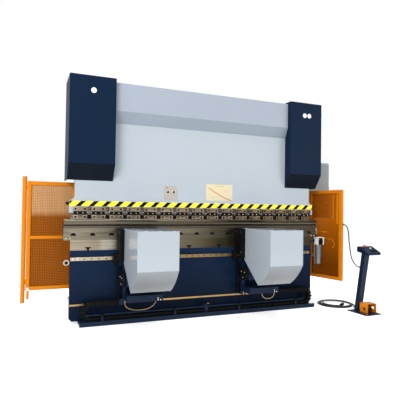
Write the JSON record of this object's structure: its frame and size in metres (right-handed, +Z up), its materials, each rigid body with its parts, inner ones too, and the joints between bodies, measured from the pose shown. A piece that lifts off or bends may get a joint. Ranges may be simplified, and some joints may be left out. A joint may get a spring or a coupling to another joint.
{
  "type": "press brake",
  "caption": "Hydraulic press brake that bends sheet metal: ram on two cylinders, bed with die, sliding tilting sheet followers, back gauge, side guards, foot-switch pedestal.",
  "frame": {"origin": "on the floor under the front face of the bed plate, at the middle of the machine", "axes": "+X along the machine to the operator's right, -Y towards the operator, +Z up"},
  "size_m": [4.29, 2.2502, 2.735],
  "materials": {
    "navy": "satin enamel",
    "pale": "satin enamel",
    "orange": "satin enamel",
    "steel": "ground steel",
    "brass": "dull brass",
    "black": "matte",
    "cable": "matte jacket",
    "hose": "tan jacket",
    "grey": "grey enamel",
    "window": "tinted sheet",
    "red": "gloss",
    "white": "gloss"
  },
  "bodies": {
    "root": {"tray": "navy", "bed_plate": "navy", "cover_left": "navy", "cover_right": "navy", "gauge_base": "navy", "pedestal": "navy", "console": "navy", "side_frame_left": "pale", "side_frame_right": "pale", "hood": "pale", "oil_tank": "pale", "guide_bar": "pale", "pedal_guard": "orange", "table_top": "steel", "die_holder": "steel", "die_block": "steel", "upper_rail": "steel", "lower_rail": "brass", "chain_lower_runs": "black", "foot_cable_connector": "black", "pedestal_cable": "cable", "motor_cable": "cable", "foot_cable": "cable", "foot_cable_coil": "cable", "crowning_drive": "grey", "cylinder_left": "grey", "cylinder_right": "grey", "pump_motor": "grey", "cabinet": "grey"},
    "ram": {"ram": "pale", "ram_panel": "grey", "clamp_bar": "steel", "punch": "steel", "piston_left": "steel", "piston_right": "steel"},
    "ram_button_left": {"ram_button_left": "black"},
    "ram_button_right": {"ram_button_right": "black"},
    "crowning_wedge": {"crowning_wedge": "steel"},
    "carriage_left": {"carriage_left": "navy", "chain_upper_run_left": "black", "hose_left": "hose"},
    "carriage_right": {"carriage_right": "navy", "chain_upper_run_right": "black", "hose_right": "hose"},
    "chain_bend_left": {"chain_bend_left": "black"},
    "chain_bend_right": {"chain_bend_right": "black"},
    "housing_left": {"housing_left": "pale"},
    "housing_right": {"housing_right": "pale"},
    "tilt_disc_left": {"tilt_disc_left": "black"},
    "tilt_disc_right": {"tilt_disc_right": "black"},
    "gauge_beam": {"gauge_beam": "steel"},
    "gauge_finger_left": {"gauge_finger_left": "steel"},
    "gauge_finger_right": {"gauge_finger_right": "steel"},
    "guard_left": {"guard_left": "orange"},
    "guard_right": {"guard_right": "orange", "guard_right_window": "window"},
    "cabinet_door": {"cabinet_door": "grey"},
    "pedal": {"pedal": "black"},
    "stop_button": {"stop_button": "red"},
    "start_button": {"start_button": "white"}
  },
  "joints": [
    {"name": "ram_stroke", "type": "slide", "parent": "root", "child": "ram", "axis": [0, 0, 1], "range_m": [0, 0.2]},
    {"name": "ram_button_left_press", "type": "slide", "parent": "ram", "child": "ram_button_left", "axis": [0, 1, 0], "range_m": [0, 0.005], "stiffness_N_per_m": 800, "springref_m": -0.001},
    {"name": "ram_button_right_press", "type": "slide", "parent": "ram", "child": "ram_button_right", "axis": [0, 1, 0], "range_m": [0, 0.005], "stiffness_N_per_m": 800, "springref_m": -0.001},
    {"name": "crowning_slide", "type": "slide", "parent": "root", "child": "crowning_wedge", "axis": [1, 0, 0], "range_m": [-0.01, 0.01]},
    {"name": "follower_left", "type": "slide", "parent": "root", "child": "carriage_left", "axis": [1, 0, 0], "range_m": [0, 0.4]},
    {"name": "chain_left", "type": "slide", "parent": "carriage_left", "child": "chain_bend_left", "axis": [1, 0, 0], "range_m": [-0.2, 0], "deforming": ["chain_lower_runs"]},
    {"name": "tilt_left", "type": "hinge", "parent": "carriage_left", "child": "housing_left", "pos_m": [0, -0.175, 1.035], "axis": [-1, 0, 0], "range_deg": [0, 60]},
    {"name": "tilt_disc_left", "type": "hinge", "parent": "carriage_left", "child": "tilt_disc_left", "pos_m": [-1.05, -0.215, 0.5], "axis": [-1, 0, 0], "range_deg": [0, 180]},
    {"name": "follower_right", "type": "slide", "parent": "root", "child": "carriage_right", "axis": [1, 0, 0], "range_m": [-0.4, 0]},
    {"name": "chain_right", "type": "slide", "parent": "carriage_right", "child": "chain_bend_right", "axis": [1, 0, 0], "range_m": [0, 0.2], "deforming": ["chain_lower_runs"]},
    {"name": "tilt_right", "type": "hinge", "parent": "carriage_right", "child": "housing_right", "pos_m": [0, -0.175, 1.035], "axis": [-1, 0, 0], "range_deg": [0, 60]},
    {"name": "tilt_disc_right", "type": "hinge", "parent": "carriage_right", "child": "tilt_disc_right", "pos_m": [0.45, -0.215, 0.5], "axis": [-1, 0, 0], "range_deg": [0, 180]},
    {"name": "gauge_travel", "type": "slide", "parent": "root", "child": "gauge_beam", "axis": [0, 1, 0], "range_m": [-0.2, 0.28]},
    {"name": "gauge_finger_left", "type": "slide", "parent": "gauge_beam", "child": "gauge_finger_left", "axis": [1, 0, 0], "range_m": [-0.5, 0.35]},
    {"name": "gauge_finger_right", "type": "slide", "parent": "gauge_beam", "child": "gauge_finger_right", "axis": [1, 0, 0], "range_m": [-0.35, 0.5]},
    {"name": "guard_left", "type": "hinge", "parent": "root", "child": "guard_left", "pos_m": [-1.5, 0.304, 0.96], "axis": [0, 0, 1], "range_deg": [-90, 20]},
    {"name": "guard_right", "type": "hinge", "parent": "root", "child": "guard_right", "pos_m": [1.8, 0.304, 0.96], "axis": [0, 0, 1], "range_deg": [-11, 60]},
    {"name": "cabinet_door", "type": "hinge", "parent": "root", "child": "cabinet_door", "pos_m": [2.17, 0.726, 1.6], "axis": [0, 0, 1], "range_deg": [0, 110]},
    {"name": "pedal_press", "type": "hinge", "parent": "root", "child": "pedal", "pos_m": [1.97948, -0.62313, 0.042], "axis": [0.9988, 0.0489, 0], "range_deg": [0, 9], "stiffness_Nm_per_rad": 25, "springref_deg": -6.88},
    {"name": "stop_press", "type": "slide", "parent": "root", "child": "stop_button", "axis": [-0.0213, 0.4358, -0.8998], "range_m": [0, 0.005], "stiffness_N_per_m": 900, "springref_m": -0.002},
    {"name": "start_press", "type": "slide", "parent": "root", "child": "start_button", "axis": [-0.0213, 0.4358, -0.8998], "range_m": [0, 0.004], "stiffness_N_per_m": 700, "springref_m": -0.001}
  ],
  "couplings": [
    {"joint": "chain_left", "follows": "follower_left", "ratio": -0.5},
    {"joint": "chain_right", "follows": "follower_right", "ratio": -0.5},
    {"joint": "tilt_disc_left", "follows": "tilt_left", "ratio": 3},
    {"joint": "tilt_disc_right", "follows": "tilt_right", "ratio": 3}
  ]
}
